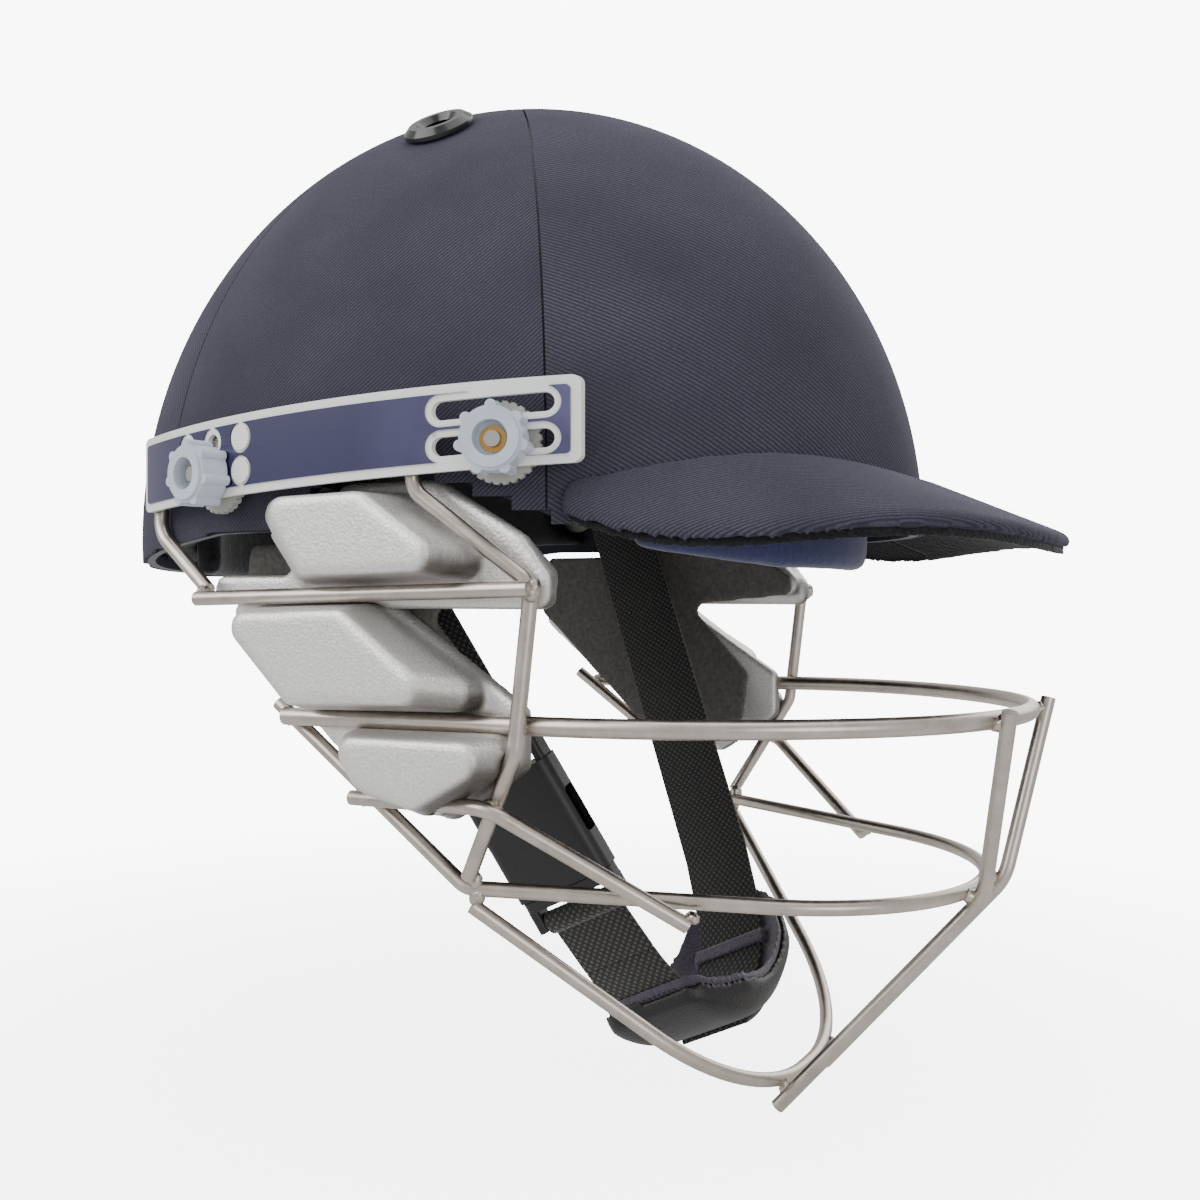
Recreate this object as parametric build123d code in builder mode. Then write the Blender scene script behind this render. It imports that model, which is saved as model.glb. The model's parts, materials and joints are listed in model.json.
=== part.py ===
"""A batting helmet: cloth covered dome and peak, welded wire grille on two side plates,
moulded ear guards and a webbing chin strap with a side release buckle and a sliding chin cup.

Millimetres. +Z is up, the wearer faces -Y and the wearer's right is -X.
The origin is the middle of the head opening at brow level.
"""

import os
from math import acos, asin, atan2, cos, degrees, radians, sin, sqrt, tan

from build123d import *

os.makedirs("parts", exist_ok=True)

SIDES = (("right", -1), ("left", 1))

# Dome: outer surface of the cloth, half of an ellipsoid and a little more
dome_half_width = 101.0
dome_half_length = 134.7
dome_height = 138.5
cloth = 1.0
layer_gap = 0.4
shell_wall = 2.6
liner_wall = 13.0
liner_lift = 3.0
liner_clearance = 1.0
overrun = 30.0
seat_gap = 0.3

# Rim of the dome, seen from the side
rim_front_y = -72.0
rim_front_z = 0.0
rim_rise_y = -45.0
rim_rise_z = 11.0
rim_ear_front_y = -30.0
rim_ear_back_y = -5.0
rim_ear_z = 14.0
rim_drop_y = 13.0
rim_back_z = -0.5
rim_back_y = 38.0
rim_nape_z = -10.0

# Comfort pads: turns in degrees, heights and depths as shares of the liner's inner half sizes
pad_inner_share = 0.93
pad_edge_share = 0.03
brow_turn = 48.0
brow_low_share = -0.075
brow_high_share = 0.22
temple_front_turn = 27.0
temple_back_turn = 33.0
temple_low_share = 0.22
temple_high_share = 0.5
nape_turn = 36.0
nape_low_share = -0.09
nape_high_share = 0.2
crown_pad_share = 0.47

# Cover seams, measured from the straight ahead line
seam_angle = 53.0

# Crown vents
vent_x = 49.0
vent_y = -5.3
vent_flange_radius = 10.7
vent_flange_height = 3.2
vent_tube_radius = 6.6
vent_bore_radius = 4.6
vent_hole_radius = 7.0
vent_depth = 16.8
vent_lip = 2.0

# Peak
peak_half_width = 89.0
peak_back_y = -72.0
peak_reach = 103.0
peak_root_y = -134.0
peak_root_z = 16.4
peak_slope = 23.0
peak_arch_radius = 139.0
peak_cloth = 1.2
peak_board = 2.6
peak_joint = 0.15

# Side plates, which follow the dome at a stand-off
plate_standoff = 5.0
plate_wall = 1.6
plate_front_y = -77.5
plate_back_y = 69.0
plate_height = 21.6
plate_mid_y = -4.0
plate_mid_z = 21.4
plate_rise = 3.25
plate_corner = 2.2
plate_border = 2.3
label_wall = 0.4
label_corner = 1.2
row_pitch = 8.9
slot_width = 4.8
slot_back_y = -41.8
slot_front_y = -71.6
hole_pitch = 12.0
hole_first_y = 42.4
rim_width = 1.7
plug_radius = 3.4
plug_head = 0.5

# Bolts, washers and thumb nuts
bolt_radius = 2.0
bolt_hole_radius = 2.4
bolt_head_radius = 7.5
bolt_head = 1.5
front_bolt_y = -58.0
front_bolt_turn = 20.0
rear_bolt_turn = -9.5
washer_radius = 10.4
washer_wall = 2.0
washer_boss_radius = 5.0
washer_teeth = 28
washer_tooth_radius = 0.55
washer_gap = 0.45
head_gap = 1.8
knob_radius = 7.9
knob_face_radius = 7.1
knob_height = 8.6
knob_lobes = 7
knob_lobe_radius = 1.4
knob_recess_radius = 4.4
knob_recess = 4.2
knob_face_step = 0.8
insert_radius = 3.3
insert_proud = 0.5
run_gap = 0.05
knob_seat = 0.25

# Grille wire: centre lines of every wire, for the left side, with insets from the dome's side
wire_radius = 2.05
ring_wire_radius = 2.5
weld_gap = 0.2
bar_top_inset = 2.413
bar_top_y = -34.0
bar_top_z = 21.0
bar_knee_z = 9.0
bar_side_inset = 5.7
bar_elbow_y = -66.5
bar_elbow_z = -15.0
bar_low_y = -61.5
bar_low_z = -57.0
bar_foot_inset = 13.5
bar_foot_y = -42.3
bar_foot_z = -91.2
bar_bend = 7.0

ring_inset = 10.4
ring_back_y = 17.5
ring_mid_y = -62.0
ring_front_y = -165.6
ring_z = -50.0
ring_back_z = -51.6
ring_side_bend = 106.0
ring_front_bend = 84.0
oval_share = 0.4142

slope_inset = 14.9
slope_back_y = 24.0
slope_back_z = -48.5
corner_y = -40.6
corner_z = -94.3
nose_front_y = -153.3
nose_front_z = -97.6
nose_half_flat = 44.0
nose_bend = 62.0
corner_bend = 7.0

chin_start_inset = 15.0
chin_start_y = -42.5
chin_start_z = -98.8
chin_front_y = -103.0
chin_front_z = -156.5
chin_half_flat = 39.5
chin_bend = 62.0

diagonal_back_inset = 10.1
diagonal_back_y = -6.5
diagonal_back_z = -72.6
diagonal_kink_inset = 3.8
diagonal_kink_y = -54.5
diagonal_kink_z = -70.8
diagonal_end_inset = 29.8
diagonal_end_y = -97.5
diagonal_end_z = -100.6
diagonal_bend = 12.0

rail_front_inset = 1.3
rail_front_y = -68.5
rail_front_z = -16.3
rail_back_inset = 0.815
rail_back_y = 41.5
rail_back_z = -18.8

hanger_top_inset = 3.524
hanger_top_y = 66.0
hanger_top_z = 20.0
hanger_knee_inset = 2.3
hanger_knee_y = 65.5
hanger_knee_z = 0.3
hanger_foot_inset = 4.5
hanger_foot_y = 40.5
hanger_foot_z = -16.3
hanger_bend = 9.0

front_bar_top_x = 26.7
front_bar_top_y = -166.8
front_bar_top_z = -47.5
front_bar_mid_x = 13.2
front_bar_mid_y = -157.3
front_bar_mid_z = -98.4
front_bar_foot_x = 20.2
front_bar_foot_y = -101.5
front_bar_foot_z = -162.6
front_bar_bend = 14.0

# Ear guards: two moulded pads a side, one lining a side
upper_face_inset = 8.3
upper_step_inset = 12.2
pad_back_inset = 16.4
lower_face_inset = 12.5
lobe_side_inset = 5.5
upper_crown_proud = 7.5
middle_crown_proud = 5.5
lower_crown_proud = 3.0
lining_face_inset = 16.6
lining_back_inset = 18.6
flange_corner = 3.0
lobe_corner = 4.5
crown_corner = 4.0
wire_clearance = 0.35
dome_clearance = 0.4

# Chin strap: a flat band in a plane that leans forward. Sizes named up are heights in that plane.
webbing_width = 24.0
webbing_wall = 1.5
strap_axis_z = 2.0
strap_lean = 26.0
strap_top_inset = 17.6
strap_top_up = 28.0
strap_bend_up = 15.1
strap_low_x = 46.0
strap_low_up = -121.0
strap_bend = 12.0
strap_arc_radius = 42.0
strap_arc_up = -121.0
rivet_up = 19.5
rivet_radius = 2.0
rivet_clearance = 0.3
rivet_head_radius = 4.5
rivet_head = 1.2
rivet_length = 9.0
anchor_width = 22.0
anchor_height = 17.0
pocket_inset = 19.5
pocket_half = 17.5

# Buckle on the right leg of the strap; distances run up the leg from the bar of its clip
buckle_top = 44.0
buckle_foot = 9.0
buckle_width = 32.0
buckle_height = 10.0
buckle_corner = 3.4
buckle_wall = 1.8
buckle_roof = 5.0
buckle_arm = 3.2
buckle_arm_length = 7.0
window_length = 14.0
window_height = 5.2
window_drop = 17.0
ladder_bar = 1.5
bar_gap = 0.35
clip_foot = 7.0
clip_inset = 0.5
clip_gap = 0.35
tongue_width = 7.0
tongue_length = 26.0
prong_width = 3.2
prong_length = 22.0
prong_height = 4.4

# Chin cup, which slides round the arc of the strap
cup_wall = 2.8
cup_half_angle = 62.0
cup_slip = 9.0
cup_flat_half = 14.0
cup_rise = 42.0
cup_bend = 9.0
cup_half_width = 22.5
cup_end_half_width = 16.0
cup_corner = 7.0
cup_lining = 2.0
cup_lining_inset = 0.8
cup_lining_gap = 0.15
cup_clearance = 0.3
keeper_turn = 34.0
keeper_spread = 8.0
keeper_wall = 1.2
cup_band_spread = 26.0


def save(piece, name):
    piece.part.label = name
    export_step(piece.part, f"parts/{name}.step")


def inner(depth):
    """Shares of the dome's half sizes at a depth under its outer surface."""
    return tuple((size - depth) / size for size in (dome_half_width, dome_half_length, dome_height))


def ellipsoid(depth):
    """Solid ellipsoid a set depth inside the dome's outer surface."""
    ball = Solid.make_sphere(1)
    return scale(
        ball,
        by=(dome_half_width - depth, dome_half_length - depth, dome_height - depth),
        mode=Mode.PRIVATE,
    )


def side_face(x, corners, corner_radius):
    """Polygon in a side plane from its corners, rounded unless the radius is 0."""
    with BuildSketch(Plane.YZ.offset(x), mode=Mode.PRIVATE) as view:
        with BuildLine() as edges:
            Polyline(*corners, close=True)
        make_face()
        if corner_radius:
            fillet(view.vertices(), corner_radius)
    return view.sketch


def above_rim(drop):
    """Block of space above the rim, with the rim moved up by a set drop."""
    back_y = dome_half_length + overrun
    corners = (
        (-back_y, dome_height + overrun),
        (-back_y, rim_front_z + drop),
        (rim_front_y, rim_front_z + drop),
        (rim_rise_y, rim_rise_z + drop),
        (rim_ear_front_y, rim_ear_z + drop),
        (rim_ear_back_y, rim_ear_z + drop),
        (rim_drop_y, rim_back_z + drop),
        (rim_back_y, rim_back_z + drop),
        (dome_half_length, rim_nape_z + drop),
        (back_y, rim_nape_z + drop),
        (back_y, dome_height + overrun),
    )
    return extrude(side_face(0, corners, 0), amount=dome_half_width + overrun, both=True, mode=Mode.PRIVATE)


def plan_distance(half_width, half_length, y):
    """Distance from the mid plane of an ellipse at a place along its length."""
    return half_width * sqrt(1 - (y / half_length) ** 2)


vent_z = dome_height * sqrt(1 - (vent_x / dome_half_width) ** 2 - (vent_y / dome_half_length) ** 2)


def vent_plane(side):
    """Plane on the dome at a crown vent, facing out."""
    out = Vector(
        side * vent_x / dome_half_width**2,
        vent_y / dome_half_length**2,
        vent_z / dome_height**2,
    )
    return Plane(origin=(side * vent_x, vent_y, vent_z), z_dir=out)


def plate_z(y, row):
    """Height of a row of holes in the side plates: 1 for the upper, -1 for the lower, 0 between."""
    return plate_mid_z - (y - plate_mid_y) * tan(radians(plate_rise)) + row * row_pitch / 2


rear_bolt_y = hole_first_y - hole_pitch
plate_plan_width = dome_half_width + plate_standoff
plate_plan_length = dome_half_length + plate_standoff

# Places measured inward from the dome's side, or outward where they are proud of it
bar_side_x = dome_half_width - bar_side_inset
bar_foot_x = dome_half_width - bar_foot_inset
slope_x = dome_half_width - slope_inset
chin_start_x = dome_half_width - chin_start_inset
diagonal_back_x = dome_half_width - diagonal_back_inset
diagonal_kink_x = dome_half_width - diagonal_kink_inset
diagonal_end_x = dome_half_width - diagonal_end_inset
rail_front_x = dome_half_width - rail_front_inset
upper_face_x = dome_half_width - upper_face_inset
upper_step_x = dome_half_width - upper_step_inset
pad_back_x = dome_half_width - pad_back_inset
lower_face_x = dome_half_width - lower_face_inset
lobe_side_x = dome_half_width - lobe_side_inset
upper_crown_x = dome_half_width + upper_crown_proud
middle_crown_x = dome_half_width + middle_crown_proud
lower_crown_x = dome_half_width + lower_crown_proud
lining_face_x = dome_half_width - lining_face_inset
lining_back_x = dome_half_width - lining_back_inset
strap_top_x = dome_half_width - strap_top_inset
pocket_x = dome_half_width - pocket_inset
ring_half_width = dome_half_width - ring_inset
bar_top_x = plan_distance(plate_plan_width, plate_plan_length, bar_top_y) - bar_top_inset
rail_back_x = plan_distance(plate_plan_width, plate_plan_length, rail_back_y) - rail_back_inset
hanger_top_x = plan_distance(plate_plan_width, plate_plan_length, hanger_top_y) - hanger_top_inset
hanger_knee_x = plan_distance(plate_plan_width, plate_plan_length, hanger_knee_y) - hanger_knee_inset
hanger_foot_x = plan_distance(plate_plan_width, plate_plan_length, hanger_foot_y) - hanger_foot_inset

lean = radians(strap_lean)
strap_plane = Plane(origin=(0, 0, strap_axis_z), x_dir=(1, 0, 0), z_dir=(0, -cos(lean), sin(lean)))
rivet_y = rivet_up * sin(lean)
rivet_z = strap_axis_z + rivet_up * cos(lean)
BOLTS = (("front", front_bolt_y, front_bolt_turn), ("rear", rear_bolt_y, rear_bolt_turn))


def bolt_plane(side, y, turn):
    """Plane on the inner face of a side plate at a bolt, with its normal along the bolt, outwards."""
    x = plan_distance(plate_plan_width, plate_plan_length, y)
    out = (side * cos(radians(turn)), -sin(radians(turn)), 0)
    return Plane(origin=(side * x, y, plate_z(y, -1)), x_dir=(0, 0, 1), z_dir=out)


def dome_layer(depth, wall, drop):
    """One layer of the dome: the space between two ellipsoids, above the rim, with its bolt and vent holes."""
    with BuildPart() as layer:
        add(ellipsoid(depth))
        add(ellipsoid(depth + wall), mode=Mode.SUBTRACT)
        add(above_rim(drop), mode=Mode.INTERSECT)
        for name, side in SIDES:
            with BuildSketch(vent_plane(side)) as vent_hole:
                Circle(vent_hole_radius)
            extrude(amount=overrun, both=True, mode=Mode.SUBTRACT)
    return layer.part


def cut_bolt_holes(radius, reach):
    """Round holes along the four bolts, from the plates inwards."""
    for name, side in SIDES:
        for place, y, turn in BOLTS:
            with BuildSketch(bolt_plane(side, y, turn)) as hole:
                Circle(radius)
            extrude(hole.sketch, amount=-reach, mode=Mode.SUBTRACT)


def wedge(low_turn, high_turn):
    """Upright wedge of space about the middle of the dome. Turns run anticlockwise from +X, seen from above."""
    reach = 2 * dome_half_length
    turns = (low_turn, (low_turn + high_turn) / 2, high_turn)
    with BuildPart(mode=Mode.PRIVATE) as space:
        with BuildSketch(Plane.XY.offset(-dome_height)) as plan:
            with BuildLine() as edges:
                Polyline((0, 0), *[(reach * cos(radians(t)), reach * sin(radians(t))) for t in turns], close=True)
            make_face()
        extrude(amount=2 * dome_height + overrun)
    return space.part


# Hard shell
with BuildPart() as hard_shell:
    add(dome_layer(cloth + layer_gap, shell_wall, 0))
    cut_bolt_holes(bolt_hole_radius, overrun)
save(hard_shell, "hard_shell")

# Impact liner, with pockets for the bolt heads and for the strap anchors
liner_depth = cloth + 2 * layer_gap + shell_wall
with BuildPart() as impact_liner:
    add(dome_layer(liner_depth, liner_wall, liner_lift))
    cut_bolt_holes(bolt_head_radius + liner_clearance, overrun)
    for name, side in SIDES:
        with BuildSketch(Plane.YZ.offset(side * pocket_x)) as pocket:
            with Locations((rivet_y, rivet_z)):
                Rectangle(2 * pocket_half, 2 * pocket_half)
        extrude(amount=side * overrun, mode=Mode.SUBTRACT)
save(impact_liner, "impact_liner")

# Cloth cover: four panels that meet at radial seams
cover = dome_layer(0, cloth, 0)
PANELS = (
    ("cover_front", 270 - seam_angle, 270 + seam_angle),
    ("cover_left", seam_angle - 90, 90 - seam_angle),
    ("cover_rear", 90 - seam_angle, 90 + seam_angle),
    ("cover_right", 90 + seam_angle, 270 - seam_angle),
)
for name, low_turn, high_turn in PANELS:
    with BuildPart() as panel:
        add(cover)
        add(wedge(low_turn, high_turn), mode=Mode.INTERSECT)
        cut_bolt_holes(bolt_hole_radius, overrun)
    save(panel, name)

# Crown vents: a rounded collar on a tube through the dome
for name, side in SIDES:
    with BuildPart() as vent:
        with BuildSketch(Plane.XZ) as half_section:
            with BuildLine() as outline:
                Polyline(
                    (vent_bore_radius, -vent_depth),
                    (vent_tube_radius, -vent_depth),
                    (vent_tube_radius, layer_gap),
                    (vent_flange_radius, layer_gap),
                    (vent_flange_radius, vent_flange_height / 2),
                    (vent_flange_radius - vent_lip, vent_flange_height),
                    (vent_tube_radius, vent_flange_height),
                    (vent_bore_radius, vent_flange_height / 2),
                    close=True,
                )
            make_face()
        revolve(axis=Axis.Z)
    placed = vent.part.moved(vent_plane(side).location)
    with BuildPart() as vent_ring:
        add(placed)
    save(vent_ring, f"{name}_vent_ring")


# Comfort pads, shaped on a ball of radius 1 and stretched to the dome
def comfort_pad(cutter, edge_radius):
    """Pad between the liner and the head, cut out by a tool and rounded on the head's side."""
    inset = liner_depth + liner_wall + layer_gap
    with BuildPart(mode=Mode.PRIVATE) as pad:
        Sphere(1)
        add(cutter, mode=Mode.INTERSECT)
        Sphere(pad_inner_share, mode=Mode.SUBTRACT)
        rounded = [e for e in pad.edges() if abs((e @ 0.5).length - pad_inner_share) < pad_edge_share / 2]
        fillet(rounded, edge_radius)
        scale(by=(dome_half_width - inset, dome_half_length - inset, dome_height - inset))
    return pad.part


def pad_block(low_turn, high_turn, low_share, high_share):
    """Wedge shaped block of the unit ball between two turns and two heights."""
    turns = (low_turn, (low_turn + high_turn) / 2, high_turn)
    with BuildPart(mode=Mode.PRIVATE) as block:
        with BuildSketch(Plane.XY.offset(low_share)) as plan:
            with BuildLine() as edges:
                Polyline((0, 0), *[(2 * cos(radians(t)), 2 * sin(radians(t))) for t in turns], close=True)
            make_face()
        extrude(amount=high_share - low_share)
    return block.part


PADS = (
    ("brow_pad", 270 - brow_turn, 270 + brow_turn, brow_low_share, brow_high_share),
    ("left_temple_pad", -temple_front_turn, temple_back_turn, temple_low_share, temple_high_share),
    ("nape_pad", 90 - nape_turn, 90 + nape_turn, nape_low_share, nape_high_share),
)
for name, low_turn, high_turn, low_share, high_share in PADS:
    with BuildPart() as band_pad:
        add(comfort_pad(pad_block(low_turn, high_turn, low_share, high_share), pad_edge_share))
    save(band_pad, name)
    if name == "left_temple_pad":
        left_temple = band_pad.part

with BuildPart() as right_temple:
    add(mirror(left_temple, about=Plane.YZ, mode=Mode.PRIVATE))
save(right_temple, "right_temple_pad")

with BuildPart(mode=Mode.PRIVATE) as crown_block:
    Cylinder(crown_pad_share, 1, align=(Align.CENTER, Align.CENTER, Align.MIN))
with BuildPart() as crown_pad:
    add(comfort_pad(crown_block.part, pad_edge_share))
save(crown_pad, "crown_pad")


# Peak: an arched board that slopes forward, with cloth above and below
def peak_layer(depth, wall):
    """One layer of the peak, a set depth under its top surface."""
    slope = radians(peak_slope)
    across = Plane(
        origin=(0, peak_root_y, peak_root_z),
        x_dir=(-1, 0, 0),
        z_dir=(0, cos(slope), sin(slope)),
    )
    with BuildPart(mode=Mode.PRIVATE) as layer:
        with BuildSketch(across) as arch:
            with Locations((0, -peak_arch_radius)):
                Circle(peak_arch_radius - depth)
                Circle(peak_arch_radius - depth - wall, mode=Mode.SUBTRACT)
        extrude(amount=peak_reach + overrun, both=True)
        with BuildSketch(Plane.XY.offset(-overrun)) as plan:
            with Locations((0, peak_back_y)):
                Ellipse(peak_half_width, peak_reach)
                with Locations((0, dome_half_length / 2)):
                    Rectangle(2 * dome_half_length, dome_half_length, mode=Mode.SUBTRACT)
        extrude(amount=3 * overrun, mode=Mode.INTERSECT)
        add(ellipsoid(-seat_gap), mode=Mode.SUBTRACT)
    return layer.part


with BuildPart() as peak_top:
    add(peak_layer(0, peak_cloth))
save(peak_top, "peak_top_cover")

with BuildPart() as peak_core:
    add(peak_layer(peak_cloth + peak_joint, peak_board))
save(peak_core, "peak_board")

with BuildPart() as peak_under:
    add(peak_layer(peak_cloth + 2 * peak_joint + peak_board, peak_cloth))
save(peak_under, "peak_underside")


# Side plates
def plate_outline(inset, corner):
    """Side view of a plate, drawn in by a border and with rounded corners, as a list of sketch corners."""
    half = plate_height / 2 - inset
    corners = []
    for y, row in ((plate_front_y + inset, 1), (plate_back_y - inset, 1), (plate_back_y - inset, -1),
                   (plate_front_y + inset, -1)):
        corners.append((y, plate_z(y, 0) + row * half))
    return side_face(0, corners, corner)


def slot_face(row, width):
    """Side view of a front slot in a row of the plate."""
    rear = (slot_back_y - slot_width / 2, plate_z(slot_back_y, row))
    front = (slot_front_y + slot_width / 2, plate_z(slot_front_y, row))
    run = rear[0] - front[0]
    rise = rear[1] - front[1]
    with BuildSketch(Plane.YZ, mode=Mode.PRIVATE) as view:
        with Locations(((rear[0] + front[0]) / 2, (rear[1] + front[1]) / 2)):
            SlotOverall(sqrt(run**2 + rise**2) + width, width, rotation=degrees(atan2(rise, run)))
    return view.sketch


def plate_band(side, depth, wall, outline):
    """Part of a plate: a band that follows the dome, seen in the side view as an outline."""
    with BuildPart(mode=Mode.PRIVATE) as band:
        with BuildSketch(Plane.XY.offset(-overrun)) as plan:
            Ellipse(plate_plan_width + depth + wall, plate_plan_length + depth + wall)
            Ellipse(plate_plan_width + depth, plate_plan_length + depth, mode=Mode.SUBTRACT)
        extrude(amount=3 * overrun)
        add(extrude(outline, amount=side * (dome_half_width + overrun), mode=Mode.PRIVATE), mode=Mode.INTERSECT)
    return band.part


def cut_through_plate(side, view):
    """Removes a side view shape from a plate, right through it."""
    add(extrude(view, amount=side * (dome_half_width + overrun), mode=Mode.PRIVATE), mode=Mode.SUBTRACT)


def hole_face(column, row, radius):
    """Side view of one of the rear holes."""
    y = hole_first_y - column * hole_pitch
    with BuildSketch(Plane.YZ, mode=Mode.PRIVATE) as view:
        with Locations((y, plate_z(y, row))):
            Circle(radius)
    return view.sketch


for name, side in SIDES:
    with BuildPart() as plate:
        add(plate_band(side, 0, plate_wall, plate_outline(0, plate_corner)))
        for row in (1, -1):
            cut_through_plate(side, slot_face(row, slot_width))
            for column in (0, 1, 2):
                cut_through_plate(side, hole_face(column, row, slot_width / 2))
    save(plate, f"{name}_side_plate")

    with BuildPart() as label:
        add(plate_band(side, plate_wall + run_gap, label_wall, plate_outline(plate_border, label_corner)))
        for row in (1, -1):
            cut_through_plate(side, slot_face(row, slot_width + 2 * rim_width))
            for column in (0, 1, 2):
                cut_through_plate(side, hole_face(column, row, slot_width / 2 + rim_width))
    save(label, f"{name}_plate_label")

with BuildPart() as plugs:
    for name, side in SIDES:
        for row in (1, -1):
            add(plate_band(side, 0, plate_wall + plug_head, hole_face(2, row, slot_width / 2 - run_gap)))
            add(plate_band(side, plate_wall + run_gap, plug_head, hole_face(2, row, plug_radius)))
save(plugs, "hole_plugs")

# Bolts, toothed washers, thumb nuts and their threaded inserts
bolt_reach = plate_standoff + liner_depth + head_gap
knob_stand = plate_wall + plug_head + knob_seat
with BuildPart() as bolts:
    for name, side in SIDES:
        for place, y, turn in BOLTS:
            seat = bolt_plane(side, y, turn)
            with BuildSketch(seat.offset(-bolt_reach - bolt_head)) as head:
                Circle(bolt_head_radius)
            extrude(amount=bolt_head)
            with BuildSketch(seat.offset(-bolt_reach)) as shank:
                Circle(bolt_radius)
            extrude(amount=bolt_reach + knob_stand + knob_height - knob_recess + bolt_radius)
save(bolts, "plate_bolts")

with BuildPart() as washers:
    for name, side in SIDES:
        for place, y, turn in BOLTS:
            seat = bolt_plane(side, y, turn)
            with BuildSketch(seat.offset(-washer_gap)) as disc:
                Circle(washer_radius)
                with PolarLocations(washer_radius, washer_teeth):
                    Circle(washer_tooth_radius, mode=Mode.SUBTRACT)
                Circle(bolt_hole_radius, mode=Mode.SUBTRACT)
            extrude(amount=-washer_wall)
            with BuildSketch(seat.offset(-washer_gap - washer_wall)) as boss:
                Circle(washer_boss_radius)
                Circle(bolt_hole_radius, mode=Mode.SUBTRACT)
            extrude(amount=washer_gap + washer_wall - plate_standoff)
save(washers, "toothed_washers")

for name, side in SIDES:
    for place, y, turn in BOLTS:
        seat = bolt_plane(side, y, turn).offset(knob_stand)
        with BuildPart() as knob:
            with BuildSketch(seat) as foot:
                Circle(knob_radius)
                with PolarLocations(knob_radius, knob_lobes):
                    Circle(knob_lobe_radius)
            extrude(amount=knob_height - knob_face_step)
            with BuildSketch(seat.offset(knob_height - knob_face_step)) as face:
                Circle(knob_face_radius)
            extrude(amount=knob_face_step)
            with BuildSketch(seat) as bore:
                Circle(insert_radius)
            extrude(amount=knob_height, mode=Mode.SUBTRACT)
            with BuildSketch(seat.offset(knob_height)) as recess:
                Circle(knob_recess_radius)
            extrude(amount=-knob_recess, mode=Mode.SUBTRACT)
        save(knob, f"{name}_{place}_knob")

        with BuildPart() as insert:
            with BuildSketch(seat) as bush:
                Circle(insert_radius)
                Circle(bolt_radius + run_gap, mode=Mode.SUBTRACT)
            extrude(amount=knob_height - knob_recess + insert_proud)
        save(insert, f"{name}_{place}_knob_insert")


# Grille wires
def wire(points, radii, name, radius=wire_radius):
    """Round wire along straight runs joined by tangent arcs."""
    with BuildPart() as rod:
        with BuildLine() as path:
            if radii:
                FilletPolyline(*points, radius=radii)
            else:
                Line(*points)
        start = path.wires()[0] @ 0
        heading = path.wires()[0] % 0
        with BuildSketch(Plane(origin=start, z_dir=heading)) as section:
            Circle(radius)
        sweep(path=path.wires()[0])
    save(rod, name)


def both_ways(points):
    """A path given for its left half, completed by its mirror image."""
    return points + [(-x, y, z) for x, y, z in reversed(points)]


ring_depth = ring_mid_y - ring_front_y
top_ring_path = both_ways(
    [
        (ring_half_width, ring_back_y, ring_back_z),
        (ring_half_width, ring_mid_y - oval_share * ring_depth, ring_z),
        (oval_share * ring_half_width, ring_front_y, ring_z),
    ]
)
top_ring_bends = [ring_side_bend, ring_front_bend, ring_front_bend, ring_side_bend]
lower_ring_path = both_ways(
    [
        (slope_x, slope_back_y, slope_back_z),
        (slope_x, corner_y, corner_z),
        (nose_half_flat, nose_front_y, nose_front_z),
    ]
)
lower_ring_bends = [corner_bend, nose_bend, nose_bend, corner_bend]


def side_bar_path(side):
    """Bar that carries the grille from a side plate down past the ear guard."""
    return [
        (side * bar_top_x, bar_top_y, bar_top_z),
        (side * bar_top_x, bar_top_y, bar_knee_z),
        (side * bar_side_x, bar_elbow_y, bar_elbow_z),
        (side * bar_side_x, bar_low_y, bar_low_z),
        (side * bar_foot_x, bar_foot_y, bar_foot_z),
    ]


def diagonal_path(side):
    """Wire across the slope of the lower ring, round the cheek to its front."""
    return [
        (side * diagonal_back_x, diagonal_back_y, diagonal_back_z),
        (side * diagonal_kink_x, diagonal_kink_y, diagonal_kink_z),
        (side * diagonal_end_x, diagonal_end_y, diagonal_end_z),
    ]


def rail_path(side):
    """Straight wire across the ear guard."""
    return [
        (side * rail_front_x, rail_front_y, rail_front_z),
        (side * rail_back_x, rail_back_y, rail_back_z),
    ]


def hanger_path(side):
    """Wire from behind a side plate down to the ear rail."""
    return [
        (side * hanger_top_x, hanger_top_y, hanger_top_z),
        (side * hanger_knee_x, hanger_knee_y, hanger_knee_z),
        (side * hanger_foot_x, hanger_foot_y, hanger_foot_z),
    ]


wire(top_ring_path, top_ring_bends, "top_ring_wire", ring_wire_radius)
wire(lower_ring_path, lower_ring_bends, "lower_ring_wire")
wire(
    both_ways([(chin_start_x, chin_start_y, chin_start_z), (chin_half_flat, chin_front_y, chin_front_z)]),
    [chin_bend, chin_bend],
    "chin_loop_wire",
)
for name, side in SIDES:
    wire(side_bar_path(side), [bar_bend, bar_bend, bar_bend], f"{name}_side_bar")
    wire(diagonal_path(side), [diagonal_bend], f"{name}_diagonal_wire")
    wire(rail_path(side), [], f"{name}_ear_rail")
    wire(hanger_path(side), [hanger_bend], f"{name}_rear_hanger")
    wire(
        [
            (side * front_bar_top_x, front_bar_top_y, front_bar_top_z),
            (side * front_bar_mid_x, front_bar_mid_y, front_bar_mid_z),
            (side * front_bar_foot_x, front_bar_foot_y, front_bar_foot_z),
        ],
        [front_bar_bend],
        f"{name}_front_bar",
    )


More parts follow.
